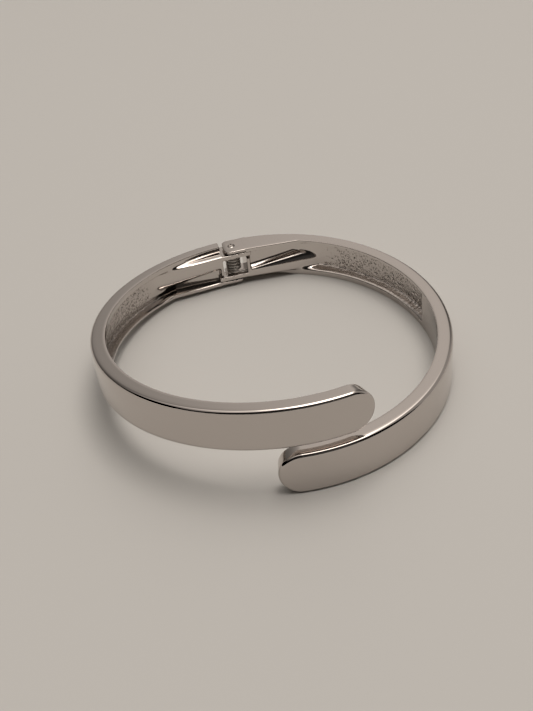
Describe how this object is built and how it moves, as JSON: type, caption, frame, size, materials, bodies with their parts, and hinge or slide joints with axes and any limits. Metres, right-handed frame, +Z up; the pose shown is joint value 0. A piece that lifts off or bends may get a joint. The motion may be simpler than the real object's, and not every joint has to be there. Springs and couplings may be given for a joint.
{
  "type": "bangle bracelet",
  "caption": "Hinged crossover bangle: two matching half bands with round tips that pass one above the other, opened on a sprung hinge at the back.",
  "frame": {"origin": "centre of the whole bangle's box in plan, on the flat surface that the right half's lower edge lies on", "axes": "+X towards the right half, whose lower edge is flat on the surface; +Y from the crossing ends towards the hinge; +Z up, away from the surface, with the hinge pin leaning 4.3 degrees from it towards +Y"},
  "size_m": [0.064, 0.0646, 0.0175],
  "materials": {
    "plated_casting": "polished",
    "pin_steel": "satin",
    "spring_steel": "satin"
  },
  "bodies": {
    "right": {"right_half": "plated_casting", "hinge_pin": "pin_steel", "torsion_spring": "spring_steel"},
    "left": {"left_half": "plated_casting"}
  },
  "joints": [
    {"name": "hinge", "type": "hinge", "parent": "right", "child": "left", "pos_m": [0, 0.02955, 0.00414], "axis": [0, -0.0756, -0.9971], "range_deg": [0, 60], "stiffness_Nm_per_rad": 0.018, "springref_deg": -28.65, "deforming": ["torsion_spring"]}
  ]
}
